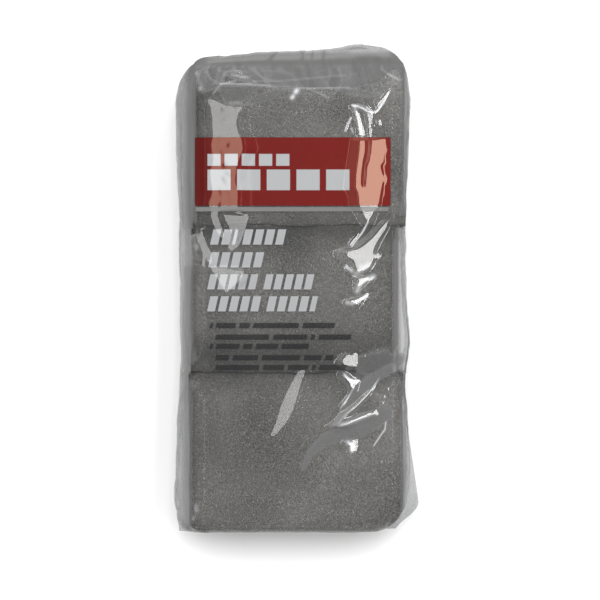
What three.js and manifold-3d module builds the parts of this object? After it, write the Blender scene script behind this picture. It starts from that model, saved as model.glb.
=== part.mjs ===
// A retail pack of steel wool: twelve soft pads of very fine steel wool, packed as three stacks of
// four end to end in one close-fitting bag of clear film. The bag is sealed across its bottom end,
// where its two corners stick out as flat ears, and its mouth is folded over at the top end.
//
// Millimetres, lying on its back. +X is across the pack, +Y points to the top end of the bag and
// +Z is up, out of the printed front. The origin is on the surface that the pack lies on, at the
// middle of its bounding box.
import * as THREE from "three";
import { mergeVertices } from "three/addons/utils/BufferGeometryUtils.js";
import Module from "manifold-3d";

// ---- The bag: overall size -------------------------------------------------------------------
const PACK_WIDTH = 124.6;
const PACK_LENGTH = 249;
const PACK_HEIGHT = 61.5;
const FILM = 0.45; // wall of the film as modelled
const GAP = 0.35; // kept between any two pieces that touch

// ---- The bag: shape --------------------------------------------------------------------------
const FLAT_HALF = 47; // the flat front and back end here, and the sides start to curve
const SIDE_POWER = 4; // exponent of the side curve: 2 is an ellipse, more is squarer
const LEFT_REACH = PACK_WIDTH / 2; // the slack is on the left side
const RIGHT_REACH = 57.2;
const WAIST = 2.4; // how far the film is drawn in beside the middle stack
const WAIST_CENTRE = -2;
const WAIST_HALF_LENGTH = 62;
const LIP = 3; // how far the folded mouth stands past the top end
const CORNER_RADIUS = 15; // corners of the bag, seen from the front
const END_RADIUS = 6; // edges of the bag's ends, seen from the side
const SIDE_STEPS = 12;
const TOP_END = PACK_LENGTH / 2 - LIP;
const BOTTOM_END = -PACK_LENGTH / 2;
// Where cross-sections are taken: close together in the rounded ends, and along the middle.
const END_STATIONS = [0, 0.6, 1.8, 3.6, 6, 10, CORNER_RADIUS];
const MIDDLE_STATIONS = [-90, -64, -48, -32, -16, 0, 16, 32, 46, 60, 84];

// ---- The bag: seams --------------------------------------------------------------------------
const FIN = 0.8; // two layers of film, welded or folded flat
const SEAM_HEIGHT = PACK_HEIGHT / 2;
const MOUTH_HEIGHT = 42; // the folded mouth is above the middle of the top end
const SLOT_WIDTH = 40; // a slot between the folds of the mouth, which is not airtight
const SLOT_HEIGHT = 1.4;
const SLOT_DEPTH = 4 * FILM;
const SLOT_CENTRE = -25;
// Webs of film that stick out of the bag, as outlines seen from the front. Each one starts and
// ends inside the bag, so that it joins it.
const RIGHT_EAR = [[50, -36], [55.4, -48], [PACK_WIDTH / 2, -111], [48, -122.5], [44, -100]];
const LEFT_EAR = [[-50, -96], [-61, -100], [-60.6, BOTTOM_END], [-54, -121.5], [-44, -118]];
const MOUTH_LIP = [[-20, 119], [6, TOP_END + 0.6 * LIP], [30, TOP_END + LIP], [44, 119]];

// ---- The pads --------------------------------------------------------------------------------
const LAYERS = 4;
const PAD_EDGE = 5; // rounding of a pad's rims
const PAD_CORNER = 13; // corners of a pad, seen from the front
const STACKS = [
  { name: "top", left: -52.8, right: 54.0, low: 32.0, high: 116.6 },
  { name: "middle", left: -53.8, right: 50.6, low: -41.4, high: 31.6 },
  { name: "bottom", left: -54.6, right: 53.4, low: -120.4, high: -41.8 },
];

// ---- Colours ---------------------------------------------------------------------------------
const WOOL_COLOUR = 0x6b6965;
const FILM_COLOUR = 0xdfe2e3;

const MERGE_DISTANCE = 1e-4; // corners closer than this are one corner

const wasm = await Module();
wasm.setup();

// A closed triangle mesh as a solid that can be joined and cut.
function solidOf(geometry) {
  const bare = geometry.index ? geometry.toNonIndexed() : geometry.clone();
  bare.deleteAttribute("normal");
  bare.deleteAttribute("uv");
  const merged = mergeVertices(bare, MERGE_DISTANCE);
  return new wasm.Manifold(
    new wasm.Mesh({
      numProp: 3,
      vertProperties: merged.attributes.position.array,
      triVerts: new Uint32Array(merged.index.array),
    }),
  );
}

// A solid as a triangle mesh again, with its shading normals.
function geometryOf(solid) {
  const mesh = solid.getMesh();
  const geometry = new THREE.BufferGeometry();
  geometry.setAttribute("position", new THREE.BufferAttribute(mesh.vertProperties, mesh.numProp));
  geometry.setIndex(new THREE.BufferAttribute(mesh.triVerts, 1));
  geometry.computeVertexNormals();
  return geometry;
}

// How far a quarter-round edge of radius r has come in at distance d from its end.
function roundInset(d, r) {
  return d >= r ? 0 : r - Math.sqrt(r * r - (r - d) * (r - d));
}

// How far the film is drawn in at y by the waist: a smooth dip beside the middle stack.
function waistAt(y) {
  const t = (y - WAIST_CENTRE) / WAIST_HALF_LENGTH;
  return Math.abs(t) >= 1 ? 0 : WAIST * Math.cos((t * Math.PI) / 2) ** 2;
}

// One cross-section of the bag at y, as [x, y, z] points anticlockwise seen from the bottom end.
// inset is how far inside the outer surface it lies.
function sectionAt(y, inset) {
  const low = BOTTOM_END + inset;
  const high = TOP_END - inset;
  const fromEnd = Math.min(y - low, high - y);
  const cornerInset = roundInset(fromEnd, CORNER_RADIUS - inset);
  const half = PACK_HEIGHT / 2 - inset - roundInset(fromEnd, END_RADIUS - inset);
  const points = [];
  for (const [side, reach] of [[1, RIGHT_REACH], [-1, LEFT_REACH]]) {
    const full = reach - waistAt(y) - inset;
    const shrink = (full - cornerInset) / full;
    for (let i = 0; i <= SIDE_STEPS; i++) {
      const angle = side * Math.PI * (i / SIDE_STEPS - 0.5);
      const across = Math.abs(Math.cos(angle)) ** (2 / SIDE_POWER);
      const up = Math.sign(Math.sin(angle)) * Math.abs(Math.sin(angle)) ** (2 / SIDE_POWER);
      const x = side * shrink * (FLAT_HALF + (full - FLAT_HALF) * across);
      points.push([x, y, PACK_HEIGHT / 2 + half * up]);
    }
  }
  return points;
}

// The closed surface of the bag at a given depth inside its outer surface.
function bagEnvelope(inset) {
  const low = BOTTOM_END + inset;
  const high = TOP_END - inset;
  const stations = [
    ...END_STATIONS.map((d) => low + d),
    ...MIDDLE_STATIONS,
    ...END_STATIONS.map((d) => high - d).reverse(),
  ];
  const rings = stations.map((y) => sectionAt(y, inset));
  const around = rings[0].length;
  const positions = rings.flat(2);
  const index = [];
  for (let r = 0; r + 1 < rings.length; r++) {
    for (let i = 0; i < around; i++) {
      const a = r * around + i;
      const b = r * around + ((i + 1) % around);
      index.push(a, a + around, b, b, a + around, b + around);
    }
  }
  const last = (rings.length - 1) * around;
  for (let i = 1; i + 1 < around; i++) {
    index.push(0, i, i + 1);
    index.push(last, last + i + 1, last + i);
  }
  const geometry = new THREE.BufferGeometry();
  geometry.setAttribute("position", new THREE.Float32BufferAttribute(positions, 3));
  geometry.setIndex(index);
  return geometry;
}

// A flat web of film centred on a height, from its outline seen from the front.
function finOf(outline, height) {
  const shape = new THREE.Shape(outline.map(([x, y]) => new THREE.Vector2(x, y)));
  const fin = new THREE.ExtrudeGeometry(shape, { depth: FIN, bevelEnabled: false });
  return solidOf(fin.translate(0, 0, height - FIN / 2));
}

// The slot where the folded mouth of the bag is not closed.
function mouthSlot() {
  const slot = new THREE.BoxGeometry(SLOT_WIDTH, SLOT_DEPTH, SLOT_HEIGHT);
  return solidOf(slot.translate(SLOT_CENTRE, TOP_END - FILM / 2, MOUTH_HEIGHT));
}

// The bag: a hollow skin with its ears and lip, open only at the slot in its mouth.
function makeBag() {
  const outer = solidOf(bagEnvelope(0));
  const inner = solidOf(bagEnvelope(FILM));
  const rightEar = finOf(RIGHT_EAR, SEAM_HEIGHT);
  const leftEar = finOf(LEFT_EAR, SEAM_HEIGHT);
  const lip = finOf(MOUTH_LIP, MOUTH_HEIGHT);
  const bag = outer.add(rightEar).add(leftEar).add(lip).subtract(inner).subtract(mouthSlot());
  return geometryOf(bag);
}

// One pad: a soft block with rounded corners and rims, its lowest face at z = 0.
function makePad({ left, right, low, high }, thickness) {
  const r = PAD_CORNER;
  const outline = new THREE.Shape();
  outline.moveTo(left + r, low);
  outline.lineTo(right - r, low);
  outline.absarc(right - r, low + r, r, -Math.PI / 2, 0);
  outline.lineTo(right, high - r);
  outline.absarc(right - r, high - r, r, 0, Math.PI / 2);
  outline.lineTo(left + r, high);
  outline.absarc(left + r, high - r, r, Math.PI / 2, Math.PI);
  outline.lineTo(left, low + r);
  outline.absarc(left + r, low + r, r, Math.PI, 1.5 * Math.PI);
  const pad = new THREE.ExtrudeGeometry(outline, {
    depth: thickness - 2 * PAD_EDGE,
    bevelThickness: PAD_EDGE,
    bevelSize: PAD_EDGE,
    bevelOffset: -PAD_EDGE,
    bevelSegments: 3,
    curveSegments: 4,
  });
  return pad.translate(0, 0, PAD_EDGE);
}

const wool = new THREE.MeshStandardMaterial({
  color: WOOL_COLOUR,
  roughness: 0.7,
  metalness: 0.6,
});
const film = new THREE.MeshStandardMaterial({
  color: FILM_COLOUR,
  roughness: 0.1,
  metalness: 0,
  transparent: true,
  opacity: 0.3,
});

const pack = new THREE.Group();

const bag = new THREE.Mesh(makeBag(), film);
bag.name = "film_bag";
pack.add(bag);

const stackHeight = PACK_HEIGHT - 2 * (FILM + GAP);
const padThickness = (stackHeight - (LAYERS - 1) * GAP) / LAYERS;
for (const stack of STACKS) {
  for (let layer = 0; layer < LAYERS; layer++) {
    const pad = new THREE.Mesh(makePad(stack, padThickness), wool);
    pad.name = `${stack.name}_pad_${layer + 1}`;
    pad.position.z = FILM + GAP + layer * (padThickness + GAP);
    pack.add(pad);
  }
}

export default pack;
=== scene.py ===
"""Looks of a clear film pack of steel wool pads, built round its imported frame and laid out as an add-on."""

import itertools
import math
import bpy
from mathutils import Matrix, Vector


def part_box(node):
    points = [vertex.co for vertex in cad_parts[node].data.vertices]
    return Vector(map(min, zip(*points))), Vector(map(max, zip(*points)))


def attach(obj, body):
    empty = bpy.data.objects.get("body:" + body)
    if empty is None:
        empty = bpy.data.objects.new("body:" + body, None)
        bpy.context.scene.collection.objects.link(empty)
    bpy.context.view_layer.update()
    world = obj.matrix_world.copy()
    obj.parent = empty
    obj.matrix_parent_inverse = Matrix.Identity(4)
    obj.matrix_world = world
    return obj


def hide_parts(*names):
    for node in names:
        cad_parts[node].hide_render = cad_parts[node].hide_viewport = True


bl_info = {
    "name": "Steel Wool Pad Pack",
    "version": (1, 0, 0),
    "blender": (4, 5, 0),
    "location": "View3D > Sidebar > Steel Wool",
    "description": "Builds soft steel wool pads in a creased clear film bag with a plain printed front",
    "category": "Object",
}

import bpy
import numpy as np
from bpy.props import FloatProperty, FloatVectorProperty, IntProperty, PointerProperty
from mathutils import Vector

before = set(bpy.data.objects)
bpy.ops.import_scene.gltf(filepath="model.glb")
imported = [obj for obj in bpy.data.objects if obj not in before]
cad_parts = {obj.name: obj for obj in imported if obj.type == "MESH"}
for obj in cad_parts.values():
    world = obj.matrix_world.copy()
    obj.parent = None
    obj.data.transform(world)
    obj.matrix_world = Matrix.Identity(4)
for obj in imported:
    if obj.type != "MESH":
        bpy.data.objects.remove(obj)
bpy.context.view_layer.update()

# Shapes are worked out in millimetres and written to the meshes in metres.
MM = 0.001
STACKS = ("top", "middle", "bottom")
LAYERS = 4
TOP_LAYER = LAYERS


def box_of(node):
    """Lowest and highest corner of a CAD node, in millimetres."""
    low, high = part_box(node)
    return np.array(low) / MM, np.array(high) / MM


def pad_node(stack, layer):
    return f"{stack}_pad_{layer}"


BAG_LOW, BAG_HIGH = box_of("film_bag")
SEAM_HEIGHT = (BAG_LOW[2] + BAG_HIGH[2]) / 2

# ---- Pads: how far each rim is rounded, across and along the pack ------------------------------
PAD_RIMS = {
    "top": {"left": 9, "right": 10, "low": 1.6, "high": 8},
    "middle": {"left": 8, "right": 9, "low": 1.6, "high": 1.6},
    "bottom": {"left": 10, "right": 10, "low": 7, "high": 1.6},
}
RIM_POWER = 2.5  # 2 is an ellipse, more is fuller
PRESSED_ENDS = {"top": (-1,), "middle": (-1, 1), "bottom": (1,)}  # ends that meet another stack
PRESSED_RIM = 1.2  # how far a side rim is rounded at such an end
PRESSED_REACH = 16
WORN_CORNER = 12  # added to the rims at the lower right corner of the pack
END_PRESS = 1.7  # how much further the lowest stack reaches into the sealed end
TOP_PITCH, LOWER_PITCH = 1.0, 2.0  # size of the squares of a pad's faces
UPRIGHT_STEPS = 14
PAD_LUMPS = ((0.36, 19), (0.12, 6.5), (0.04, 2.3))  # height and size of the lumps of its faces
JOINT_WAVES = ((0.8, 17), (0.35, 5))  # the same for the edges of two stacks that meet
JOINT_REACH = 14
CROWN_DROP = {"top": 0.5, "middle": 0.5, "bottom": 0.9}
LOW_RIM = 6.8  # rim of a whole stack of pads
# Painted shade and light on the wool at places along the pack, from its lower end to its upper end: darkest
# at the two joints, where one stack meets the next.
PAINTED_JOINT_SHADES = [
    (-122, 1.05), (-106, 1.00), (-95, 0.93), (-54, 0.89), (-50.4, 0.77), (-46, 0.66), (-43.6, 0.48),
    (-41.6, 0.42), (-34, 0.43), (-28.4, 0.50), (-25, 0.62), (-17, 0.88), (2, 1.04), (14, 0.98),
    (19.6, 0.80), (24, 0.62), (27, 0.44), (31, 0.34), (33, 0.58), (37, 0.64), (42, 0.86), (60, 0.97),
]
PACK_HALF = 125.0  # the shades are set out over this length on each side of the middle

# ---- Bag: reach of the film on each side, as (place along the pack, reach) ---------------------
LEFT_REACH = [
    (-123, 60.2), (-111, 62.3), (-97, 62.1), (-77, 61.4), (-57, 60.6), (-38, 59.6), (-32, 59.1),
    (-26, 59.8), (33, 59.9), (46, 60.7), (71, 62.1), (97, 62.3), (104, 61.2), (112, 58.5),
]
RIGHT_REACH = [
    (-121, 51.5), (-112, 54.0), (-100, 56.4), (-91, 57.2), (-77, 56.8), (-57, 55.4), (-47, 54.3),
    (-36, 56.2), (-26, 57.6), (-6, 55.6), (13, 55.2), (29, 54.9), (46, 55.5), (79, 56.6), (97, 57.0),
    (107, 56.2), (114, 54.6), (120, 52.0),
]
# The flat ears at the seam: place along the pack, and how far the seam reaches.
RIGHT_SEAM = [(-122, 49.5), (-111.5, 62.3), (-91, 59.4), (-77, 57.2), (-57, 55.4), (-50, 45)]
LEFT_SEAM = [(-123.6, 60.4), (-112, 62.2), (-97, 62.1), (-88, 45)]
FLAT_HALF = {"left": 46.5, "right": 47.5}
SIDE_POWER = {"left": 2.7, "right": 3.0}
SIDE_START = {"left": 0.34, "right": 0.30}
FRONT_LEVEL = 0.45  # film below the highest face of the CAD bag
CLEARANCE = 0.25  # kept between the film and the pads
FACE_ON_SHINE = 0.052  # share of light that both faces of the film reflect, seen face on
EDGE_ON_SHINE = 0.30
CORNERS = {"high_left": 15.0, "high_right": 13.0, "low_left": 7.0, "low_right": 15.0}  # their radii
END_DEPTH = 11.0  # length of each rounded end
END_POWER = 3.6
LOWEST_FILM = 0.12
END_SLANT = {"high": 0.022, "low": 0.012}  # the ends aren't square to the sides
# The folded mouth stands out most at this place, over this width and by this much.
LIP = {"place": 39, "width": 13, "rise": 2.5}
LIP_FALL = 1.6  # how far it falls back at the left
SEAM_TOP = 60  # the seam stands out below this place
# The grid of the film. To the right of FINE_FROM the columns of the front lie closer together.
FINE_FROM = 20
FRONT_COLUMNS = (75, 77)
SIDE_STEPS, BACK_COLUMNS = 16, 32
MAIN_ROWS, END_ROWS = 338, 23
# Heights between which the film's front, and its upper part, set in.
FRONT_ZONE = (50, 57)
UPPER_ZONE = (34, 44)

# ---- Creases: outlines of the facets of film that lie tilted, seen from the front ---------------
TILT = 0.145
STEEP = 0.42
MOST_LEAN = 0.6  # how far a facet's slope may turn along the pack; less towards the lower end
GROWN = 0.15  # added on each side of a facet on the right
RIGHT_FACETS = {
    "ridge": [(27.4, 90.8), (29.6, 91.4), (31.2, 86.6), (33.0, 81.5), (33.8, 76.4), (30.6, 76.4),
              (30.4, 79.6), (29.6, 84.1), (28.7, 88.5)],
    "ridge_top": [(29.6, 91.6), (32.8, 90.9), (35.4, 89.5), (38.2, 88.9), (40.0, 90.6), (39.8, 94.0),
                  (41.8, 95.3), (43.7, 97.5), (46.2, 100.4), (44.6, 96.8), (43.4, 94.0), (42.1, 91.4),
                  (40.2, 89.2), (38.4, 88.0), (34.8, 88.4), (32.2, 90.0), (30.0, 90.8)],
    "second_limb": [(34.3, 88.6), (37.3, 87.6), (37.6, 84.1), (37.3, 79.6), (36.8, 75.2), (36.6, 70.7),
                    (35.8, 75.2), (35.5, 79.6), (35.1, 84.1)],
    "broad": [(37.1, 75.6), (43.9, 75.6), (43.6, 67.9), (43.1, 63.3), (41.6, 61.6), (42.6, 57.9),
              (44.4, 55.3), (42.6, 52.6), (41.6, 47.3), (40.6, 41.9), (40.3, 41.1), (37.8, 37.6),
              (35, 32.6), (32.3, 38.1), (30.6, 41.9), (30.2, 47.3), (28.7, 50.6), (29.1, 57.9),
              (30.0, 64.6), (30.7, 70.6), (31.0, 75.6), (33.8, 75.6), (33.9, 69.3), (32.9, 64.6),
              (32.0, 57.9), (31.8, 52.6), (33.6, 50.4), (34.2, 55.3), (34.5, 61.3), (35.8, 64.6),
              (36.6, 69.3)],
    "spout": [(32.2, 38.8), (37.6, 38.8), (36.2, 37.4), (35.2, 35.8), (34.5, 36.2), (33.6, 37.6)],
    "tail": [(34.6, 36.2), (35.3, 36.0), (34.0, 32.4), (32.2, 29.4), (29.4, 26.0), (26.4, 22.4),
             (25.4, 20.4), (25.9, 22.8), (28.8, 26.6), (31.4, 29.8), (33.2, 32.8)],
    "crumple": [(45.3, 34.7), (45.6, 33.7), (44.3, 29.9), (41.8, 26.0), (39.2, 22.2), (37.9, 19.0),
                (38.3, 17.4), (40.8, 17.8), (43.0, 18.7), (42.4, 17.4), (40.5, 15.2), (37.9, 14.6),
                (37.3, 12.7), (36.0, 10.5), (33.3, 8.6), (30.0, 7.6), (29.3, 10.0), (28.4, 13.3),
                (24.5, 15.8), (24.2, 17.8), (25.5, 20.0), (30.0, 20.6), (33.5, 22.9), (37.3, 26.0),
                (40.5, 29.9), (44.3, 34.3)],
    "sliver": [(30, 6.1), (38.3, 6.4), (34.8, 3.6), (31.3, 1.1), (29.5, 0.1), (30.3, 3.6)],
    "flake": [(25, -6.4), (27.3, -4.9), (30.3, -3.9), (35.3, -1.6), (35.3, -4.4), (32.3, -6.4),
              (29.8, -8.9), (27.8, -7.9), (25.8, -7.2)],
    "chip": [(24.3, 11.6), (27.8, 10.6), (26.8, 8.1), (24.8, 9.6)],
    "low_blob": [(21.6, -36.2), (24.2, -32.4), (29.6, -31.7), (30.2, -38.2), (26.6, -39.8),
                 (23.0, -38.6)],
    "triangle": [(21.9, -41.7), (25.6, -43.6), (28.6, -44.8), (32.0, -45.2), (29.4, -48.2), (27.6, -50.6),
                 (25.6, -47.4)],
    "triangle_tail": [(27.7, -49), (28.4, -49.4), (25.3, -54.6), (22.1, -59.1), (21.5, -58.7),
                      (24.5, -54.2)],
    "long_fold": [(20.8, -66.9), (21.3, -66.3), (29.7, -57.5), (35.2, -51.7), (39, -47.1),
                  (39.7, -47.5), (35.9, -52.3), (30.3, -58.2)],
    "wedge": [(19.7, -68.7), (26.9, -64.9), (35.4, -61.5), (38.6, -60.9), (41.6, -62.6), (38.0, -63.2),
              (31.4, -65.7), (24.9, -68.2), (20.3, -69.2)],
    "lump": [(23.3, -76.4), (26.3, -75.7), (29.8, -74.9), (29.3, -78.4), (30.3, -79.9), (27.8, -82.2),
             (25.8, -81.9), (26.3, -78.9)],
    "glint": [(42.3, -86.6), (44.8, -84.7), (44.2, -87.4)],
    "streak": [(23.8, 78.3), (24.2, 80.3), (25.8, 84.1), (26.8, 85.7), (26.5, 82.8), (24.9, 79.6)],
    "nick": [(26.8, 81.5), (27.1, 79.0), (28.0, 77.4), (27.8, 79.8)],
    "speck_high": [(39.6, 84.6), (41.2, 84.9), (41.6, 82.8), (40.4, 82.2)],
    "speck_low": [(43.2, 79.6), (44.3, 78.4), (45, 76), (43.9, 77.1)],
}
# Creases without an outline, in layers: height, size of the facets and seed of the noise.
FRONT_CRUMPLE = [(0.16, 8.5, 3), (0.07, 3.6, 8)]
SIDE_CRUMPLE = [(0.45, 11, 31), (0.2, 4.5, 41)]
LONG_FOLDS = [(0.75, 7.0, 21)]  # along the sides
END_RAYS = [(0.16, 5.0, 51)]  # out of the gathered ends
# Small bright spots: place and half size of each.
GLINTS = [
    (-38.7, 109.1, 1.1), (-47.9, 105.0, 1.2), (-42.9, 105.0, 0.9), (-29.1, 106.5, 1.0), (6.9, 112.6, 1.1),
    (9.6, 114.9, 0.9), (41.6, 106.2, 0.8), (43.6, 106.4, 0.7), (50.8, 106.3, 1.2), (48.3, 101.9, 1.0),
    (46.8, 74.2, 0.8), (38.2, 81.6, 0.8), (31.2, -31.6, 0.8), (33.6, -33.4, 1.1), (45.2, -49.8, 0.9),
    (43.4, -53.6, 0.7), (42.6, -56.8, 0.8), (12.4, -62.8, 0.9),
]
LEFT_FACETS = {
    "leaf": [(-48.8, 30.1), (-46.8, 29.1), (-44.8, 23.1), (-42.3, 18.6), (-41.8, 13.1), (-43.8, 11.6),
             (-45.8, 16.6), (-47.8, 23.1)],
    "lobe": [(-37.8, 38.1), (-22.8, 38.1), (-24.3, 32.6), (-26.8, 24.6), (-29.8, 19.6), (-32.8, 18.6),
             (-34.8, 21.1), (-33.3, 26.6), (-34.8, 30.6), (-37.8, 34.6)],
    "short_lobe": [(-43.3, 38.1), (-39.4, 38.1), (-38.4, 34.6), (-36.8, 30.8), (-35.6, 27.6),
                   (-36.6, 24.4), (-38.7, 26.5), (-41.0, 30.2), (-42.5, 34.6)],
    "under_print": [(-43.6, 11.0), (-38.5, 11.6), (-30, 10), (-25.5, 9.6), (-27.5, 4), (-31.5, 0),
                    (-35, -2.6), (-38, 2), (-41, 7)],
    "blade": [(0.3, -40.4), (5.3, -40.4), (2.8, -47.9), (0.8, -54.4), (-1.3, -61.4), (-4.8, -67.4),
              (-7.8, -70.9), (-10.8, -73.9), (-14.3, -74.4), (-12.8, -71.4), (-10.3, -64.4),
              (-8.3, -57.9), (-5.3, -50.9), (-2.3, -44.9)],
}
# The long soft facet down the left of the front, whose far side falls away gently.
LEFT_BAND = [
    (-45.3, 95.6), (-41.3, 95.4), (-38.3, 93.9), (-35.3, 92.4), (-32.3, 94.1), (-29.8, 94.6),
    (-25.3, 91.6), (-25.8, 89.6), (-28.3, 87.6), (-29.3, 83.6), (-28.8, 79.6), (-26.8, 76.1),
    (-25.8, 69.6), (-28.8, 62.1), (-29.8, 54.6), (-28.3, 48.6), (-28.8, 41.6), (-27.0, 38.2),
    (-42.6, 38.2), (-43.8, 42.1), (-42.8, 49.6), (-43.8, 57.1), (-42.3, 64.6), (-43.3, 72.1), (-41.8, 77.1),
    (-42.3, 82.1), (-42.8, 88.1),
]

# Patches of loose film that hide the grain of the wool: how grey, and the outline.
LOOSE_PATCHES = [
    (0.62, [(-30, 115), (-10, 118), (20, 121), (40, 119), (47, 110), (40, 103.5), (28, 101.2), (-8, 100.8),
            (-20, 103.5), (-27, 108)]),
    (0.45, [(-39.8, 101.2), (-18.4, 101.9), (-28.4, 93.5), (-36, 93.5)]),
    (0.60, [(-25.3, 92.3), (-22, 96), (-8.4, 99.8), (-12, 96.0)]),
    (0.35, [(16, 101), (30, 100), (43, 97), (36, 96.5), (26, 97.5)]),
    (0.40, [(-48, 113), (-40, 114), (-36, 108), (-40, 101), (-46, 99), (-50, 106)]),
    (0.30, [(-42.3, 14), (-30, 13.5), (-28.8, -0.5), (-35, -2.5), (-41.5, 5)]),
    (0.35, [(30, -34), (44, -30), (50, -36), (46, -40), (36, -43), (30, -41)]),
    # A painted shadow, not loose film: the pocket at the right edge.
    (1.00, [(49.4, -30.6), (53.4, -33.2), (52.6, -37.5), (50.4, -41.5), (48.4, -41.1), (48.6, -36)]),
]
# Lines along which the film is made milky: how milky, half width, and the places. Round the top end they are
# whitened folds, some of them also painted highlights; from the ridge at the right on they are painted
# highlights, which fill the bright facets or alone draw two spots near the top and an arc low on the right.
FOLD_AND_HIGHLIGHT_LINES = [
    (0.30, 0.45, [(-32.9, 107.2), (-27.5, 106.1), (-23, 106.4)]),
    (0.22, 0.40, [(5.3, 100.4), (10, 98.6), (15.3, 95.8)]),
    (0.40, 0.45, [(41.3, 110.7), (46, 107.2), (51, 104.8)]),
    (0.30, 0.45, [(-1.5, 111.8), (4, 113.2), (10, 114.6)]),
    (0.30, 0.45, [(-43.8, 114.1), (-40.5, 111), (-38.3, 109.1)]),
    (0.25, 0.45, [(-49.4, 105), (-48.8, 101), (-47.3, 97.3)]),
    (0.30, 0.40, [(-47.5, 110), (-45, 108.5), (-43.5, 105), (-40, 103.5)]),
    (0.30, 0.45, [(-42, 103), (-35, 102.8), (-16, 102), (6.3, 100.6), (26, 101.1)]),
    (0.30, 0.45, [(-22, 104), (-7.8, 104.2), (18.8, 106.7), (24, 107)]),
    (0.25, 0.45, [(-28, 113), (-16, 105), (-8, 103.6)]),
    (0.30, 0.45, [(-23.7, 112.2), (-18.4, 106.5), (-13.8, 101.9)]),
    (0.22, 0.45, [(-42.1, 98), (-38.3, 102.4), (-30.6, 104.4)]),
    (0.20, 0.45, [(-36.0, 112.6), (-31, 109.4), (-24.5, 108.6)]),
    # Painted highlights from here on.
    (0.75, 0.50, [(27.4, 91.9), (29.8, 91.5), (32.8, 90.2), (35.4, 88.6), (37.6, 88.0)]),
    (0.45, 0.45, [(48.7, -41.1), (48.0, -35.2), (49.6, -30), (51.4, -27.6)]),
    (0.48, 0.90, [(28.6, 91.2), (30.2, 86.0), (31.6, 80.2), (32.2, 76.6)]),
    (0.85, 1.00, [(-0.5, 99.4), (-0.9, 98.6)]),
    (0.85, 1.00, [(-2.3, 96.4), (-2.6, 95.8)]),
    (0.52, 0.70, [(23.4, -42.8), (27.3, -46.4), (27.2, -48.6)]),
    (0.80, 0.80, [(27.4, -46.2), (30.0, -46.4)]),
    (0.55, 0.75, [(20.6, -68.4), (27.0, -66.2), (34.2, -63.5), (39.6, -62.0)]),
    (0.60, 1.20, [(25.6, -76.8), (27.8, -78.0), (27.2, -80.8)]),
    (0.50, 0.90, [(24.8, -6.9), (27.4, -7.2), (30.4, -5.8), (34.6, -3.0)]),
    (0.50, 1.40, [(29.9, -0.8), (31.2, 2.2), (34.0, 4.8), (38.0, 6.2)]),
    (0.36, 1.60, [(29.4, 7.4), (31.6, 9.6), (35.6, 12.2)]),
    (0.55, 1.00, [(24.5, 11.0), (27.0, 9.4)]),
    (0.60, 0.60, [(24.0, 79.2), (25.2, 82.6), (26.7, 85.6)]),
    (0.45, 0.45, [(26.9, 80.6), (27.8, 78.4)]),
    (0.28, 0.70, [(-53.9, 29.0), (-51.4, 24.4), (-49.7, 19.4)]),
    (0.22, 0.45, [(-53.4, -116.5), (-51.2, -113), (-50.6, -109.8), (-51.4, -107)]),
    (0.50, 0.42, [(20.6, -66.9), (24.5, -62.3), (30.0, -57.8), (35.6, -52.0), (38.8, -47.6), (40.8, -44.6)]),
    (0.55, 0.40, [(38.2, -78.2), (41.8, -72.8), (43.7, -70.2), (44.2, -66.4)]),
    (0.60, 0.40, [(28.3, -49.0), (26.4, -52.4), (23.2, -57.2), (21.6, -59.4)]),
    (0.75, 0.45, [(35.2, 33.6), (32.6, 28.6), (29.6, 24.8), (27.2, 21.6)]),
    (0.75, 0.40, [(34.6, 91.0), (37.4, 88.4), (40.4, 89.6), (43.2, 93.2), (45.2, 97.8)]),
]
ROLL_HEIGHT = 0.18
# Rolls of loose film: the half width at each end, and the places.
ROLLS = [
    (1.2, 3.6, [(2.9, -89.5), (6.3, -82), (13.8, -75.4), (21.3, -72.4), (31.3, -70.4), (39.6, -65.4),
                (44, -61.5)]),
    (1.6, 2.6, [(18.8, -69.4), (23.5, -60.5), (30.3, -51.2), (37.3, -44.4), (46.8, -39.4)]),
]

# ---- Print: plain panels and bars on the front ---------------------------------------------------
RED_PANEL = (-51.6, 46.7, 41.6, 76.1)  # left, right, low, high
GREY_STRIP = (-51.2, 45.8, 38.7, 41.3)
# Each line: low, height, the pitch of its blocks (none if solid), and the ends of each run.
PANEL_LINES = [(61.6, 6.2, 8.6, [(-45.2, -2.8)]), (49.4, 10.6, 14.85, [(-45.2, 28.2)])]
SLANT = 0.22  # lean of the blocks below the panel
BLOCK_SHARE = 0.80  # how much of its pitch a block fills
PRINT_FROM = 54  # height above which the film is printed
LIGHT_LINES = [
    (22.1, 8.0, 5.5, [(-44.0, -31.0), (-28.0, -6.0)]),
    (10.7, 8.0, 5.6, [(-45.0, -17.5)]),
    (-0.3, 8.0, 5.1, [(-45.5, -20.5), (-17.5, 7.6)]),
    (-11.3, 8.0, 5.4, [(-45.5, -19.0), (-16.0, 8.8)]),
]
DARK_LINES = [
    (-19.6, 2.9, None, [(-44.3, -42.5), (-41.2, -31.0), (-29.5, -24.0), (-22.6, 0.5), (2.2, 18.4)]),
    (-25.4, 2.9, None, [(-41.4, -14.5), (-12.6, 4.6), (6.2, 8.6), (10.2, 26.6)]),
    (-30.0, 2.9, None, [(-44.3, -42.5), (-41.2, -29.2), (-27.6, -22.8), (-21.2, -10.0), (-8.4, 5.4)]),
    (-35.7, 2.9, None, [(-41.4, -34.5), (-32.8, -20.0), (-18.2, 1.0), (2.8, 11.8), (13.4, 17.8)]),
    (-40.6, 2.9, None, [(-41.4, -19.4), (-17.6, -6.8), (-5.2, 5.2), (6.8, 8.8), (10.4, 23.8)]),
]


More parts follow.
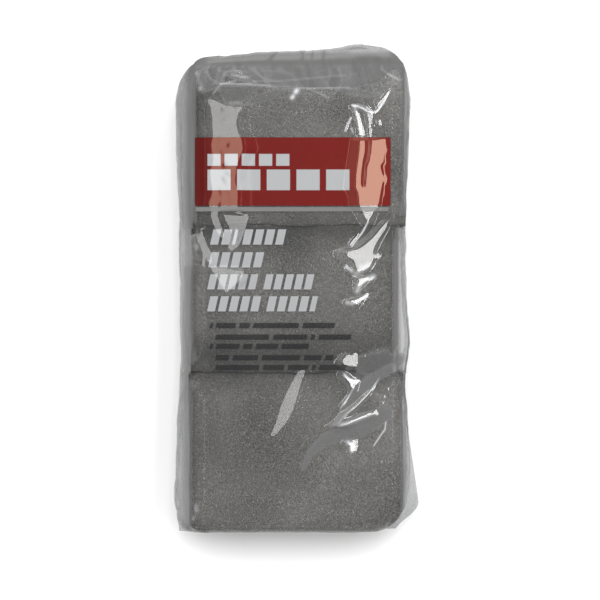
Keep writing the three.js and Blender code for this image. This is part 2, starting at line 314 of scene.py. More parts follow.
# ---- Studio --------------------------------------------------------------------------------------
# Lamps, in metres: place, size along X and Y, power, and whether it is aimed at the pack.
LAMPS = {
    "left_strip": ((-0.36, 0.21, 1.28), (0.24, 1.0), 3.2, False),
    "right_strip": ((0.42, 0.21, 1.28), (0.24, 1.0), 7.6, False),
    "key": ((0.0, 0.38, 2.05), (0.5, 0.5), 17, True),
}
HIDDEN_IN_GLOSS = ("key",)
CAMERA_OVER = (0.00125, -0.0054)
FLOOR_REACH, FLOOR_STEPS = 4000.0, 24

# ---- Settings ------------------------------------------------------------------------------------
COLOUR = {"subtype": "COLOR", "size": 3, "min": 0, "max": 1}
SHARE = {"subtype": "FACTOR", "min": 0, "max": 1}


class WoolSettings(bpy.types.PropertyGroup):
    """What the steel wool looks like."""

    colour: FloatVectorProperty(
        name="Colour", description="Colour of the wool", default=(0.150, 0.1450, 0.1365), **COLOUR,
    )
    fibre_width: FloatProperty(
        name="Fibre width", description="Width of a loose fibre", subtype="DISTANCE", default=0.00009,
    )
    fibre_length: FloatProperty(
        name="Fibre length", description="Longest loose fibre", subtype="DISTANCE", default=0.0012,
    )
    fibres: IntProperty(
        name="Fibres", description="Loose fibres on the top pad of each stack", default=54000, min=0,
    )
    side_fibres: IntProperty(
        name="Side fibres", description="Loose fibres round each lower pad", default=8000, min=0,
    )


class FilmSettings(bpy.types.PropertyGroup):
    """What the clear film and its print look like."""

    tint: FloatVectorProperty(
        name="Tint", description="Light that one layer of film lets through",
        default=(0.90, 0.905, 0.905), **COLOUR,
    )
    haze: FloatProperty(name="Haze", description="Milkiness of flat film", default=0.03, **SHARE)
    edge_haze: FloatProperty(
        name="Edge haze", description="Milkiness added where the film is seen edge on", default=0.56,
        **SHARE,
    )
    fold_haze: FloatProperty(
        name="Fold haze", description="Milkiness of the greyest film", default=0.85, **SHARE,
    )
    cloud: FloatVectorProperty(
        name="Cloud", description="Colour of the milkiness seen face on", default=(0.62, 0.63, 0.64),
        **COLOUR,
    )
    # The edge and deep clouds also paint shade in the margins, under the ears and in a pocket at the right.
    edge_cloud: FloatVectorProperty(
        name="Edge cloud", description="Colour of the milkiness seen edge on",
        default=(0.30, 0.301, 0.302), **COLOUR,
    )
    deep_cloud: FloatVectorProperty(
        name="Deep cloud", description="Colour of the greyest film", default=(0.125, 0.125, 0.124), **COLOUR,
    )
    gloss: FloatProperty(
        name="Gloss roughness", description="Roughness of the film's shine", default=0.07, **SHARE,
    )
    red: FloatVectorProperty(
        name="Panel", description="Colour of the printed panel", default=(0.128, 0.007, 0.006), **COLOUR,
    )
    light: FloatVectorProperty(
        name="Light print", description="Colour of the light bars", default=(0.33, 0.335, 0.34), **COLOUR,
    )
    strip: FloatVectorProperty(
        name="Strip", description="Colour of the strip under the panel", default=(0.16, 0.158, 0.155),
        **COLOUR,
    )
    dark: FloatVectorProperty(
        name="Dark print", description="Colour of the dark bars", default=(0.012, 0.012, 0.014), **COLOUR,
    )


class StudioSettings(bpy.types.PropertyGroup):
    """The floor and the camera."""

    floor_colour: FloatVectorProperty(
        name="Floor", description="Colour of the floor", default=(0.98, 0.98, 0.98), **COLOUR,
    )
    camera_height: FloatProperty(
        name="Camera height", description="Height of the camera over the floor", subtype="DISTANCE",
        default=1.36,
    )
    field: FloatProperty(
        name="Field", description="Width that the camera sees at the height of the front",
        subtype="DISTANCE", default=0.3,
    )


# ---- Noise ---------------------------------------------------------------------------------------
def cell_value(cell, seed):
    """A fixed random number from 0 to 1 for each whole-number cell."""
    mix = (cell @ np.array([374761393, 668265263, 1442695041]) + seed * 362437) & 0xFFFFFFFF
    mix = ((mix ^ (mix >> 13)) * 1274126177) & 0xFFFFFFFF
    return ((mix ^ (mix >> 16)) & 0xFFFF) / 0xFFFF


def soft_noise(points, size, seed):
    """Smooth noise from -1 to 1 whose lumps are about that size; size may differ along each axis."""
    place = points / np.asarray(size, dtype=float)
    base = np.floor(place).astype(np.int64)
    part = place - base
    part = part * part * (3 - 2 * part)
    total = np.zeros(len(points))
    for corner in itertools.product((0, 1), repeat=3):
        weight = np.prod(np.where(corner, part, 1 - part), axis=1)
        total += weight * cell_value(base + np.array(corner), seed)
    return total * 2 - 1


def soft_layers(points, layers, seed):
    """Sum of layers of smooth noise, each given by its height and size; each has the next seed."""
    return sum(rise * soft_noise(points, size, seed + n) for n, (rise, size) in enumerate(layers))


def facet_noise(x, y, size, seed):
    """Noise from -1 to 1 made of flat triangles about that size, as in creased film."""
    flat = np.stack([x, y, np.zeros_like(x)], axis=-1).reshape(-1, 3)
    bend = [0.45 * soft_noise(flat, size * 2.2, seed + turn) for turn in (1, 2)]
    place = flat[:, :2] / size + np.stack(bend, axis=-1)
    skewed = place + place.sum(axis=1, keepdims=True) * (math.sqrt(3) - 1) / 2
    base = np.floor(skewed).astype(np.int64)
    part = skewed - base
    first = part[:, 0] >= part[:, 1]
    step = np.where(first[:, None], [1, 0], [0, 1])
    near, far = part.max(axis=1), part.min(axis=1)

    def value(cell):
        return cell_value(np.pad(cell, ((0, 0), (0, 1))), seed)

    total = (1 - near) * value(base) + (near - far) * value(base + step) + far * value(base + 1)
    return (total * 2 - 1).reshape(x.shape)


def facet_layers(x, y, layers):
    """Sum of layers of creases, each given by its height, the size of its facets and its seed."""
    return sum(rise * facet_noise(x, y, size, seed) for rise, size, seed in layers)


def hump(value, width):
    """1 where the value is 0, and next to nothing twice that width away."""
    return np.exp(-((value / width) ** 2))


def smooth_step(value, start, end):
    """0 before start, 1 after end and smooth between them; start may be the larger."""
    part = np.clip((value - start) / (end - start), 0, 1)
    return part * part * (3 - 2 * part)


# ---- Meshes --------------------------------------------------------------------------------------
def make_object(name, points, faces, **point_values):
    """A smooth mesh object from points in millimetres, faces and named values at its points."""
    mesh = bpy.data.meshes.new(name)
    mesh.from_pydata((points * MM).tolist(), [], [list(face) for face in faces])
    for label, values in point_values.items():
        layer = mesh.attributes.new(label, "FLOAT", "POINT")
        layer.data.foreach_set("value", values.reshape(-1).astype(np.float32))
    mesh.polygons.foreach_set("use_smooth", [True] * len(mesh.polygons))
    mesh.update()
    obj = bpy.data.objects.new(name, mesh)
    bpy.context.scene.collection.objects.link(obj)
    return obj


def normals_of(points, quads):
    """A unit normal at each point of a mesh of quads."""
    across = points[quads[:, 2]] - points[quads[:, 0]]
    along = points[quads[:, 3]] - points[quads[:, 1]]
    face = np.cross(across, along)
    total = np.zeros_like(points)
    for corner in range(4):
        np.add.at(total, quads[:, corner], face)
    return total / np.maximum(np.linalg.norm(total, axis=1, keepdims=True), 1e-12)


def grid_quads(number):
    """Quads between the points of a grid, given their numbers."""
    ring = [number[:-1, :-1], number[1:, :-1], number[1:, 1:], number[:-1, 1:]]
    return np.stack(ring, axis=-1).reshape(-1, 4)


def block_grid(counts):
    """Points from -1 to 1, and quads, of a grid over the six faces of a block."""
    points, quads, start = [], [], 0
    for axis in range(3):
        a, b = (axis + 1) % 3, (axis + 2) % 3
        for side in (0, 1):
            steps_a, steps_b = np.meshgrid(np.arange(counts[a] + 1), np.arange(counts[b] + 1), indexing="ij")
            place = np.zeros(steps_a.shape + (3,), dtype=int)
            place[..., a] = steps_a
            place[..., b] = steps_b
            place[..., axis] = side * counts[axis]
            quad = grid_quads(start + np.arange(steps_a.size).reshape(steps_a.shape))
            quads.append(quad if side else quad[:, ::-1])
            points.append(place.reshape(-1, 3))
            start += steps_a.size
    merged, where = np.unique(np.concatenate(points), axis=0, return_inverse=True)
    return merged / np.array(counts) * 2 - 1, where.reshape(-1)[np.concatenate(quads)]


# ---- Pads ----------------------------------------------------------------------------------------
def pad_box(stack, layer):
    """Box of one pad. The lowest stack reaches a little further into the sealed end of the bag."""
    low, high = box_of(pad_node(stack, layer))
    return (low - np.array([0, END_PRESS, 0]) if stack == "bottom" else low), high


def rim_radii(place, half, stack, height):
    """The rim radius along X, Y and Z at each point, given from the pad's middle."""
    rims = PAD_RIMS[stack]
    across = np.where(place[:, 0] < 0, rims["left"], rims["right"]).astype(float)
    along = np.where(place[:, 1] < 0, rims["low"], rims["high"])
    upright = np.full(len(place), height, dtype=float)
    for end in PRESSED_ENDS[stack]:
        near = smooth_step(half[1] - end * place[:, 1], PRESSED_REACH, 0)
        across += near * (PRESSED_RIM - across)
        upright += near * (PRESSED_RIM - upright)
    if stack == "bottom":
        worn = WORN_CORNER * smooth_step(place[:, 1], 18 - half[1], -half[1]) ** 0.5
        across = across + worn * smooth_step(place[:, 0], 0, 30)
        worn = WORN_CORNER * smooth_step(place[:, 0], half[0] - 24, half[0] - 4)
        along = along + worn * smooth_step(place[:, 1], 0, -20)
    return np.stack([across, along, upright], axis=1)


def from_core(place, half, stack, height):
    """The nearest place inside all the rims, the way out from it in rim radii, its length and the radii."""
    radii = rim_radii(place, half, stack, height)
    core = np.clip(place, radii - half, half - radii)
    out = (place - core) / radii
    length = (np.abs(out) ** RIM_POWER).sum(axis=1) ** (1 / RIM_POWER)
    return core, out, length, radii


def rounded_block(place, low, high, stack, rim_height):
    """Grid points from -1 to 1 moved onto a block with rounded rims and corners."""
    centre, half = (low + high) / 2, (high - low) / 2
    core, out, length, radii = from_core(place * half, half, stack, rim_height)
    scale = np.abs(out).max(axis=1) / np.maximum(length, 1e-9)
    return centre + core + out * scale[:, None] * radii


def pad_surface(stack, layer):
    """Points and quads of one pad: a pressed batt of wool with soft rims and lumpy faces."""
    low, high = pad_box(stack, layer)
    pitch = TOP_PITCH if layer == TOP_LAYER else LOWER_PITCH
    counts = [round(size / pitch) for size in (high - low)[:2]] + [UPRIGHT_STEPS]
    place, quads = block_grid(counts)
    seed = STACKS.index(stack) * 17 + layer * 5
    points = rounded_block(place, low, high, stack, (high[2] - low[2]) * 0.47)
    if layer == TOP_LAYER:
        fall = np.abs(place[:, 0]) ** 3 + np.abs(place[:, 1]) ** 4
        points[:, 2] -= CROWN_DROP[stack] * fall * (place[:, 2] + 1) / 2
    for end in PRESSED_ENDS[stack]:
        joint = high[1] if end > 0 else low[1]
        near = smooth_step(np.abs(points[:, 1] - joint), JOINT_REACH, 0)
        ahead = np.stack([points[:, 0], 0 * near + round(joint / 10) * 50, 0 * near], axis=1)
        points[:, 1] += near * (soft_layers(ahead, JOINT_WAVES, 61) + 0.2 * end)
    normals = normals_of(points, quads)
    upright = 1 - np.abs(normals[:, 2])
    plies = 0.55 * soft_noise(points, (26, 26, 1.9), seed + len(PAD_LUMPS)) * upright ** 1.5
    inward = 0.62 - 0.25 * upright - 0.35 * np.abs(normals[:, 1])
    depth = soft_layers(points, PAD_LUMPS, seed) + plies - inward
    under = normals[:, 2] < -0.4
    depth = np.where(under, np.minimum(depth, -0.1) * 0.35, np.minimum(depth, 0.12))
    return points + normals * depth[:, None], quads


def fibre_mesh(points, normals, count, longest, width, random):
    """Points, quads and a tone for each point of loose fibres: short ribbons that lie on a surface."""
    chosen = random.integers(0, len(points), count)
    root, up = points[chosen], normals[chosen]
    along = random.normal(size=(count, 3))
    along[:, 1] *= 1.3
    along -= (along * up).sum(axis=1, keepdims=True) * up
    along /= np.linalg.norm(along, axis=1, keepdims=True)
    side = np.cross(up, along)

    def between(low, high):
        return random.uniform(low, high, (count, 1))

    root = root + side * between(-0.6, 0.6) + along * between(-0.6, 0.6)
    root = root + up * between(0.02, 0.24)
    length = longest * between(0.22, 1.0) ** 1.5
    reach = (along + up * between(-0.10, 0.16)) * length / 2
    flat = side + up * between(-0.8, 0.8)
    half = width / 2 * between(0.6, 1.4) * flat
    start, end = root - reach, root + reach
    corners = np.stack([start - half, end - half, end + half, start + half], axis=1)
    faces = np.arange(count * 4).reshape(count, 4)
    return corners.reshape(-1, 3), faces, np.repeat(random.uniform(0, 1, count), 4)


# ---- Bag: its section and ends -------------------------------------------------------------------
def reach_at(stations, y):
    """Reach of the film at each place along the pack, with its corners slightly eased."""
    places, reaches = zip(*sorted(stations))
    return sum(np.interp(y + shift, places, reaches) for shift in (-2.5, 0, 2.5)) / 3


def side_columns(side):
    """Height, from 1 to -1, and how far out it is, from 0 to 1, of each column down one side."""
    power, start = SIDE_POWER[side], SIDE_START[side]
    top = (1 - start**power) ** (1 / power)
    angles = np.linspace(math.asin(start ** (power / 2)), math.pi / 2, SIDE_STEPS)[1:-1]
    heights = np.cos(angles) ** (2 / power) / top
    heights = np.concatenate([heights[heights > 0.12], [0.09, 0.05, 0.025, 0.01]])
    heights = np.concatenate([heights, [0], -heights[::-1]])
    out = ((1 - (np.abs(heights) * top) ** power) ** (1 / power) - start) / (1 - start)
    return heights, out


def bag_columns():
    """For each column round the bag: signed flat place, outwardness and height from 1 to -1."""
    left, right = FLAT_HALF["left"], FLAT_HALF["right"]
    coarse, fine = FRONT_COLUMNS
    front = [np.linspace(-left, FINE_FROM, coarse + 1)[:-1], np.linspace(FINE_FROM, right, fine)]
    front = np.concatenate(front)
    back = np.linspace(right, -left, BACK_COLUMNS)
    right_height, right_out = side_columns("right")
    left_height, left_out = side_columns("left")
    flat = np.concatenate([front, np.full(len(right_out), right), back, np.full(len(left_out), -left)])
    out = np.concatenate([front * 0, right_out, back * 0, left_out])
    height = np.concatenate([front * 0 + 1, right_height, back * 0 - 1, -left_height])
    return flat, out, height


def bag_rows():
    """For each row: place along the pack without its ends, how far into an end, and height share."""
    main_low, main_high = BAG_LOW[1] + 1 + END_DEPTH, BAG_HIGH[1] - 3.5 - END_DEPTH
    main = np.linspace(main_low, main_high, MAIN_ROWS)
    angles = np.linspace(0, math.pi / 2, END_ROWS + 1)[1:]
    depth = np.sin(angles) ** (2 / END_POWER)
    share = np.maximum(np.cos(angles) ** (2 / END_POWER), 0.012)
    place = np.concatenate([np.full(END_ROWS, main_low), main, np.full(END_ROWS, main_high)])
    into = np.concatenate([-depth[::-1], main * 0, depth])
    return place, into, np.concatenate([share[::-1], main * 0 + 1, share])


def corner_inset(distance, radius):
    inner = np.clip(radius - distance, 0, radius)
    return radius - np.sqrt(radius**2 - inner**2)


def bag_base():
    """The bag without creases: a grid of points, rows along the pack and columns round it."""
    flat, out, height = (values[None] for values in bag_columns())
    place, into, share = (values[:, None] for values in bag_rows())
    x_guess = flat / FLAT_HALF["right"] * 50
    lip = LIP["rise"] * hump(x_guess - LIP["place"], LIP["width"])
    lip = lip - LIP_FALL * smooth_step(x_guess, -18, -50)
    high_depth = END_DEPTH + END_SLANT["high"] * x_guess + lip
    low_depth = END_DEPTH - END_SLANT["low"] * (x_guess + 50)
    y = place + into * np.where(into > 0, high_depth, low_depth)
    on_right = flat > 0
    reach = np.where(on_right, reach_at(RIGHT_REACH, y), reach_at(LEFT_REACH, y))
    half = np.where(on_right, FLAT_HALF["right"], FLAT_HALF["left"])
    x = np.sign(flat) * (np.abs(flat) + (reach - half) * out)
    end_low, end_high = place.min() - low_depth, place.max() + high_depth
    low_corner = np.where(on_right, CORNERS["low_right"], CORNERS["low_left"])
    high_corner = np.where(on_right, CORNERS["high_right"], CORNERS["high_left"])
    corner = np.where(into < 0, low_corner, high_corner)
    inset = corner_inset(np.minimum(y - end_low, end_high - y), corner)
    x = x * (1 - inset / reach)
    top = BAG_HIGH[2] - FRONT_LEVEL
    z = SEAM_HEIGHT + height * share * np.where(height > 0, top - SEAM_HEIGHT, SEAM_HEIGHT - LOWEST_FILM)
    seam = np.where(on_right, reach_at(RIGHT_SEAM, y), reach_at(LEFT_SEAM, y))
    body = reach - inset
    seam = np.maximum(seam, body)
    at_seam = np.exp(-((np.abs(z - SEAM_HEIGHT) / 1.5) ** 1.1)) * (y < SEAM_TOP)
    x = x + at_seam * (x / body) * (seam - body)
    return np.stack([x, y, z], axis=-1)


def clear_of_pads(points):
    """Moves points out of the space that the three stacks of pads fill."""
    flat = points.reshape(-1, 3).copy()
    for stack in STACKS:
        low, high = pad_box(stack, 1)[0], pad_box(stack, LAYERS)[1]
        centre, half = (low + high) / 2, (high - low) / 2
        place = flat - centre
        core, out, length, radii = from_core(place, half, stack, LOW_RIM)
        wanted = 1 + CLEARANCE / radii.max(axis=1)
        move = (length > 1e-6) & (length < wanted) & (place[:, 2] > LOW_RIM - half[2])
        scale = np.where(move, wanted / np.maximum(length, 1e-6), 1)
        flat = np.where(move[:, None], centre + core + out * scale[:, None] * radii, flat)
    return flat.reshape(points.shape)


# ---- Bag: its creases ----------------------------------------------------------------------------
def edges(outline):
    """The edges of a closed outline, each as its two corners."""
    return zip(outline, outline[1:] + outline[:1])


def spans_at(outline, y):
    """The stretches of x that lie inside an outline at one place along the pack."""
    crossings = []
    for (xa, ya), (xb, yb) in edges(outline):
        if (ya <= y) != (yb <= y):
            crossings.append(xa + (y - ya) * (xb - xa) / (yb - ya))
    crossings.sort()
    return list(zip(crossings[::2], crossings[1::2]))


def tilted_facet(x, y, outline, side):
    """Height of one facet that slopes down to one side (1 right, -1 left), with steep edges.

    A facet on the right is one plane, and one on the left starts at its own outline in each row.
    """
    rows = y[:, x.shape[1] // 2]
    places = [p[1] for p in outline]
    inside = np.flatnonzero((rows >= min(places)) & (rows <= max(places)))
    spans = [(row, start, end) for row in inside for start, end in spans_at(outline, rows[row])]
    feet = np.array([end if side > 0 else start for _, start, end in spans])
    along = np.array([rows[row] for row, _, _ in spans])
    most = np.clip(0.72 + 0.0065 * np.mean(places), 0.1, MOST_LEAN)
    lean = np.clip(np.polyfit(along, feet, 1)[0], -MOST_LEAN, most) if len(inside) > 2 else 0
    foot = side * (side * (feet - lean * along)).max()
    height = np.zeros_like(x)
    grown = GROWN if side > 0 else 0
    for row, start, end in spans:
        start, end = start - grown, end + grown
        nearest = np.clip(x[row], start, end)
        base = foot + lean * rows[row] if side > 0 else start
        level = TILT * side * (base - nearest)
        height[row] = np.maximum(height[row], level - STEEP * np.abs(x[row] - nearest))
    return height


def eased(height, times):
    """Height averaged lightly over its neighbours, which rounds each crease."""
    for _ in range(times):
        inside = height.copy()
        inside[1:-1] = (height[:-2] + 2 * height[1:-1] + height[2:]) / 4
        height = inside.copy()
        height[:, 1:-1] = (inside[:, :-2] + 2 * inside[:, 1:-1] + inside[:, 2:]) / 4
    return height


def front_relief(x, y):
    """Height of the creases over the flat front."""
    facets = np.zeros_like(x)
    diamonds = [[(a - r, b), (a, b + r), (a + r, b), (a, b - r)] for a, b, r in GLINTS]
    for outline in [*RIGHT_FACETS.values(), *diamonds]:
        facets = np.maximum(facets, tilted_facet(x, y, outline, 1))
    for outline in LEFT_FACETS.values():
        facets = np.maximum(facets, tilted_facet(x, y, outline, -1))
    band = eased(tilted_facet(x, y, LEFT_BAND, -1), 3)
    busy = 0.45 + 0.55 * smooth_step(x, 5, 40) + 0.35 * smooth_step(y, 88, 106)
    busy = busy * (1 - 0.9 * smooth_step(eased((facets > 0) * 1.0, 8), 0.02, 0.4))
    rolls = sum(ROLL_HEIGHT * smooth_step(roll_share(roll, x, y), 1, 0.2) for roll in ROLLS)
    return eased(facets, 1) + band + busy * facet_layers(x, y, FRONT_CRUMPLE) + eased(rolls, 1)


def crease_bag(points):
    """Adds the creases of the front, the sides and the gathered ends, and keeps clear of the pads."""
    x, y, z = np.moveaxis(points, -1, 0)
    columns = points.shape[1]
    front = slice(0, sum(FRONT_COLUMNS))
    lift = np.zeros_like(x)
    lift[:, front] = front_relief(x[:, front], y[:, front])
    fade = smooth_step(np.abs(y), BAG_HIGH[1] - 6, BAG_HIGH[1] - 18)
    points = points.copy()
    points[..., 2] += lift * fade
    around = np.concatenate([points, points[:, :1]], axis=1)
    number = np.arange(points.shape[0] * columns).reshape(points.shape[:2])
    after = np.roll(number, -1, axis=1)
    quads = np.stack([number[:-1], after[:-1], after[1:], number[1:]], axis=-1).reshape(-1, 4)
    normals = normals_of(points.reshape(-1, 3), quads).reshape(points.shape)
    step = np.linalg.norm(np.diff(around, axis=1), axis=2)
    girth = np.cumsum(step, axis=1)
    sideways = 1 - np.abs(normals[..., 2])
    on_end = smooth_step(np.abs(y), 106, 120)
    crumple = facet_layers(girth, y, SIDE_CRUMPLE)
    folds = facet_layers(girth, y / 7, LONG_FOLDS) + crumple
    rays = facet_layers(60 * np.arctan2(x - 12, np.abs(y - 150) + 4), y / 3, END_RAYS)
    side_folds = smooth_step(sideways, 0.15, 0.6) * folds * (1 - 0.75 * on_end)
    depth = side_folds + on_end * (rays + 0.2 * crumple)
    seam = np.exp(-np.abs(z - SEAM_HEIGHT) / 2.0)
    depth = depth * (1 - seam) * (z > 1.2)
    points = points + normals * depth[..., None]
    points[..., 2] = np.maximum(points[..., 2], 0.08)
    return clear_of_pads(points), quads


def distance_to(line, x, y):
    """Distance from each point to a line of straight stretches, and how far along it that is."""
    nearest, along = np.full(x.shape, 1e9), np.zeros(x.shape)
    for number, ((xa, ya), (xb, yb)) in enumerate(zip(line, line[1:])):
        run = (xb - xa) ** 2 + (yb - ya) ** 2
        part = np.clip(((x - xa) * (xb - xa) + (y - ya) * (yb - ya)) / run, 0, 1)
        distance = np.hypot(x - xa - part * (xb - xa), y - ya - part * (yb - ya))
        along = np.where(distance < nearest, (number + part) / (len(line) - 1), along)
        nearest = np.minimum(nearest, distance)
    return nearest, along


def roll_share(roll, x, y):
    """How far across a roll each point is, 0 on its middle and 1 at its edge."""
    start, end, line = roll
    distance, along = distance_to(line, x, y)
    return distance / (start + (end - start) * smooth_step(along, 0, 0.5))


def inside_share(outline, x, y, soft):
    """1 well inside an outline and 0 outside, over an edge that wide."""
    inside = np.zeros(x.shape, dtype=bool)
    for (xa, ya), (xb, yb) in edges(outline):
        if ya != yb:
            inside ^= ((ya <= y) != (yb <= y)) & (x < xa + (y - ya) * (xb - xa) / (yb - ya))
    away = distance_to(outline + outline[:1], x, y)[0]
    return np.where(inside, smooth_step(away, -soft, soft), smooth_step(away, soft, -soft))


def facet_painted_light(x, y, size, seed):
    """Painted light on creased film: from 0 to 1, how far each facet of a crumpled surface turns towards the
    upper right, so that facets turned that way are painted lighter.
    """
    rise = facet_noise(x + 0.4, y + 0.3, size, seed) - facet_noise(x - 0.4, y - 0.3, size, seed)
    return np.clip(0.35 + rise * size * 0.45, 0, 1)


def bag_haze_and_highlights(points):
    """How milky the film is at each point: at the creased top end, along sharp folds and on rolls, together
    with painted light on creased facets and painted highlights along many of the lines.
    """
    x, y, z = np.moveaxis(points, -1, 0)
    creased = smooth_step(y + 0.05 * x, 94, 104) * (1 - 0.55 * smooth_step(x, 22, 44))
    creased = creased + 0.16 * smooth_step(x, 12, 24) * smooth_step(y, -34, -44) * smooth_step(y, -94, -78)
    wide, fine = facet_noise(x, y, 11, 81), facet_noise(x, y, 6, 91)
    lines = 0.17 * hump(wide, 0.05) + 0.12 * hump(fine, 0.07)
    # Painted light: creased facets turned towards the upper right are made lighter.
    broad, narrow = facet_painted_light(x, y, 10, 81), facet_painted_light(x, y, 5, 91)
    milk = creased * (lines + 0.13 * broad + 0.09 * narrow) + 0.03 * smooth_step(y, 103, 109)
    for strength, width, line in FOLD_AND_HIGHLIGHT_LINES:
        milk = milk + strength * hump(distance_to(line, x, y)[0], width)
    for roll in ROLLS:
        share = roll_share(roll, x, y)
        milk = milk + 0.03 * smooth_step(share, 1.05, 0.8) + 0.08 * hump(share - 0.86, 0.12)
    return np.clip(milk * smooth_step(z, *FRONT_ZONE), 0, 1)


def bag_shine(points, normals):
    """Share of its full shine that the film has: least where the front turns down to the sides."""
    x, y, z = np.moveaxis(points, -1, 0)
    turn = np.where(x > 0, FLAT_HALF["right"], FLAT_HALF["left"])
    turned = smooth_step(np.abs(x), turn - 2.0, turn - 0.6) * smooth_step(z, 44, 54)
    turned = turned * (1 - smooth_step(np.abs(y - 21), 11, 8) * (x < 0))
    far_side = smooth_step(normals[..., 0], 0.02, 0.05) * smooth_step(x, 20, 12)
    return 1 - 0.92 * np.maximum(turned, far_side * smooth_step(z, *FRONT_ZONE))


def past_wool(x, y):
    """How far each point lies out to the side from the edge of the pads beside it."""
    boxes = [box_of(pad_node(stack, TOP_LAYER)) for stack in reversed(STACKS)]
    places = [place for low, high in boxes for place in (low[1] + 1, high[1] - 1)]
    left = np.interp(y, places, [-low[0] for low, _ in boxes for _ in range(2)])
    right = np.interp(y, places, [high[0] for _, high in boxes for _ in range(2)])
    right = right - 1.5 * smooth_step(np.abs(y + 6), 34, 28)
    return np.where(x > 0, x - right, -x - left)


def bag_grey_and_shade(points):
    """How grey the film is: in the margins, on the flat ears, round the top end and on loose patches. The
    margins are painted darker towards the wool as shade, the ears' grey is partly painted shade and the
    darkest patch is a painted shadow.
    """
    x, y, z = np.moveaxis(points, -1, 0)
    past = past_wool(x, y)
    upper = smooth_step(z, *UPPER_ZONE)
    # Painted shade: the margins are greyer, so darker, the nearer they lie to the wool.
    left = 0.50 - 0.20 * smooth_step(y, 45, 15) - 0.10 * smooth_step(y, -30, -60)
    left = left + 0.58 * smooth_step(past, 6.5, 0.3)
    right = 0.08 + 0.14 * smooth_step(np.abs(y + 6), 38, 28) + 0.64 * smooth_step(past, 3.4, 0.3)
    margins = np.where(x > 0, right, left) * smooth_step(past, -2.0, -0.2) * upper
    # Partly painted shade under the ears.
    ears = 0.20 * smooth_step(np.abs(z - SEAM_HEIGHT), 9, 2) * smooth_step(y, -52, -64)
    top_end = smooth_step(y, 108, 113) * (1 - 0.6 * smooth_step(y, 117.5, 121)) * upper
    patches = np.zeros_like(x)
    for strength, outline in LOOSE_PATCHES:
        patches = np.maximum(patches, strength * inside_share(outline, x, y, 1.6))
    for roll in ROLLS:
        patches = np.maximum(patches, 0.62 * smooth_step(roll_share(roll, x, y), 1.3, 0.6))
    patches = patches * smooth_step(z, *FRONT_ZONE) * (1 + 0.15 * facet_noise(x, y, 9, 71))
    return np.clip(np.maximum.reduce([margins, ears, top_end, patches]), 0, 1)


# ---- Shaders -------------------------------------------------------------------------------------
class Value:
    """A socket of a shader tree that Python expressions can be written on."""

    def __init__(self, tree, socket):
        self.tree = tree
        self.socket = socket

    def math(self, operation, *others, clamp=False):
        sockets = {0: self}
        sockets.update({place + 1: other for place, other in enumerate(others)})
        settings = {"operation": operation, "use_clamp": clamp}
        return self.tree.node("ShaderNodeMath", settings, sockets)["Value"]

    def __add__(self, other):
        return self.math("ADD", other)

    __radd__ = __add__

    def __mul__(self, other):
        return self.math("MULTIPLY", other)

    __rmul__ = __mul__

    def __sub__(self, other):
        return self.math("SUBTRACT", other)

    def __rsub__(self, other):
        return (self * -1) + other

    def __truediv__(self, other):
        return self.math("DIVIDE", other)

    def __pow__(self, other):
        return self.math("POWER", other)

    def clamped(self):
        return self.math("ADD", 0, clamp=True)

    def or_more(self, other):
        return self.math("MAXIMUM", other)

    def inside(self, low, high, soft):
        """1 between low and high and 0 outside, over an edge that wide."""
        return ((self - low) / soft).clamped() * ((high - self) / soft).clamped()


class Made:
    """A node in a tree: its output sockets are taken by name."""

    def __init__(self, tree, node):
        self.tree = tree
        self.made = node

    def __getitem__(self, name):
        return Value(self.tree, self.made.outputs[name])


